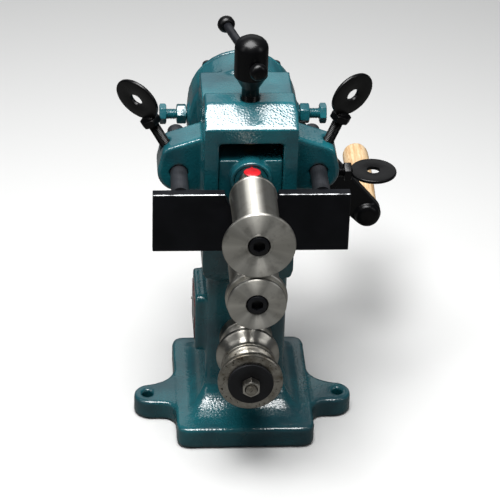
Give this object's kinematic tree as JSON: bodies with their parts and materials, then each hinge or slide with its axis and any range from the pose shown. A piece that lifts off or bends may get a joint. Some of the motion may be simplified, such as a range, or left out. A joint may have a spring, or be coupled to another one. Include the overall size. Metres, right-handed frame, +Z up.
{
  "type": "rotary machine",
  "caption": "Hand-cranked bench rotary machine for beading and swaging sheet metal, with geared rolls, a pressure screw, a sliding gauge and a crank with a wooden grip",
  "frame": {"origin": "centre of the yoke's front plane on the underside of the base", "axes": "+X right seen from the rolls, +Y back along the shafts toward the crank, +Z up"},
  "size_m": [0.2698, 0.4133, 0.3935],
  "materials": {
    "teal_paint": "glossy teal hammer-finish enamel on cast iron",
    "turned_steel": "bare turned steel with circular tool marks",
    "worn_steel": "bare steel, pitted and stained",
    "dark_steel": "blackened steel, dull",
    "spring_steel": "bright spring wire",
    "black_oxide": "black oxide, satin, worn bright on the edges",
    "black_paint": "gloss black enamel on cast steel",
    "bronze": "plain bearing bronze",
    "beech": "pale turned beech, lightly sealed",
    "red_plastic": "moulded red plastic oiler cap"
  },
  "bodies": {
    "frame": {"frame_casting": "teal_paint", "gear_cover": "teal_paint", "pivot_bolt_left": "teal_paint", "pivot_bolt_right": "teal_paint", "pivot_nut_left": "teal_paint", "pivot_nut_right": "teal_paint", "gear_cover_screw_1": "dark_steel", "gear_cover_screw_2": "dark_steel", "gear_cover_screw_3": "dark_steel", "gear_cover_screw_4": "dark_steel", "lower_front_bush": "bronze", "lower_rear_bush": "bronze", "return_spring_left": "spring_steel", "return_spring_right": "spring_steel", "stored_roll_front": "worn_steel", "stored_roll_rear": "turned_steel", "storage_washer": "dark_steel", "storage_nut": "turned_steel", "storage_stud": "turned_steel"},
    "upper_carrier": {"upper_front_block": "teal_paint", "upper_front_bush": "bronze", "upper_rear_block": "dark_steel", "upper_rear_bush": "bronze", "oil_cap": "red_plastic"},
    "upper_shaft": {"upper_shaft": "turned_steel", "upper_roll": "turned_steel", "upper_roll_key": "turned_steel", "upper_roll_screw": "black_oxide", "upper_gear": "dark_steel", "upper_gear_key": "turned_steel", "crank_spacer": "dark_steel", "crank_arm": "black_paint", "crank_key": "turned_steel", "crank_nut": "dark_steel", "grip_spindle": "dark_steel"},
    "grip": {"crank_grip": "beech"},
    "lower_shaft": {"lower_shaft": "turned_steel", "lower_roll": "turned_steel", "lower_roll_key": "turned_steel", "lower_roll_screw": "black_oxide", "lower_gear": "dark_steel", "lower_gear_key": "turned_steel", "lower_gear_ring": "dark_steel"},
    "thrust_pad": {"thrust_pad": "bronze"},
    "pressure_screw": {"pressure_screw": "black_paint"},
    "tommy_bar": {"tommy_bar": "black_oxide", "tommy_knob_front": "black_oxide", "tommy_knob_rear": "black_oxide"},
    "gauge": {"gauge_plate": "black_oxide", "gauge_rod_left": "dark_steel", "gauge_rod_right": "dark_steel"},
    "rod_lock_left": {"rod_lock_screw_left": "black_paint"},
    "rod_lock_right": {"rod_lock_screw_right": "black_paint"},
    "shaft_lock": {"shaft_lock_screw": "black_paint"}
  },
  "joints": [
    {"name": "pressure_screw_turn", "type": "hinge", "parent": "thrust_pad", "child": "pressure_screw", "pos_m": [0, 0.037, 0.3685], "axis": [0, 0, 1], "range_deg": [-90, 1020]},
    {"name": "pressure_screw_travel", "type": "slide", "parent": "frame", "child": "thrust_pad", "axis": [0, 0, 1], "range_m": [-0.00052, 0.0057]},
    {"name": "upper_shaft_pivot", "type": "hinge", "parent": "frame", "child": "upper_carrier", "pos_m": [0, 0.122, 0.27], "axis": [-1, 0, 0], "range_deg": [-0.34, 3.83], "deforming": ["return_spring_left", "return_spring_right"]},
    {"name": "crank_turn", "type": "hinge", "parent": "upper_carrier", "child": "upper_shaft", "pos_m": [0, 0, 0.27], "axis": [0, 1, 0], "continuous": true},
    {"name": "lower_shaft_turn", "type": "hinge", "parent": "frame", "child": "lower_shaft", "pos_m": [0, 0, 0.21], "axis": [0, 1, 0], "continuous": true},
    {"name": "grip_spin", "type": "hinge", "parent": "upper_shaft", "child": "grip", "pos_m": [0.13006, 0.186, 0.1315], "axis": [0, 1, 0], "continuous": true},
    {"name": "tommy_bar_slide", "type": "slide", "parent": "pressure_screw", "child": "tommy_bar", "axis": [0.2385, -0.9711, 0], "range_m": [-0.001, 0.056]},
    {"name": "gauge_slide", "type": "slide", "parent": "frame", "child": "gauge", "axis": [0, -1, 0], "range_m": [-0.004, 0.045]},
    {"name": "left_lock_turn", "type": "hinge", "parent": "frame", "child": "rod_lock_left", "pos_m": [-0.064, 0.043, 0.26], "axis": [-0.4848, 0, 0.8746], "range_deg": [0, 360]},
    {"name": "right_lock_turn", "type": "hinge", "parent": "frame", "child": "rod_lock_right", "pos_m": [0.064, 0.043, 0.26], "axis": [0.3746, 0, 0.9272], "range_deg": [0, 360]},
    {"name": "shaft_lock_turn", "type": "hinge", "parent": "frame", "child": "shaft_lock", "pos_m": [0.098, 0.115, 0.21], "axis": [1, 0, 0], "range_deg": [0, 360]}
  ],
  "couplings": [
    {"joint": "pressure_screw_travel", "follows": "pressure_screw_turn", "m_per_rad": 0.00031831},
    {"joint": "upper_shaft_pivot", "follows": "pressure_screw_turn", "ratio": 0.0037448},
    {"joint": "lower_shaft_turn", "follows": "crank_turn", "ratio": -1}
  ]
}
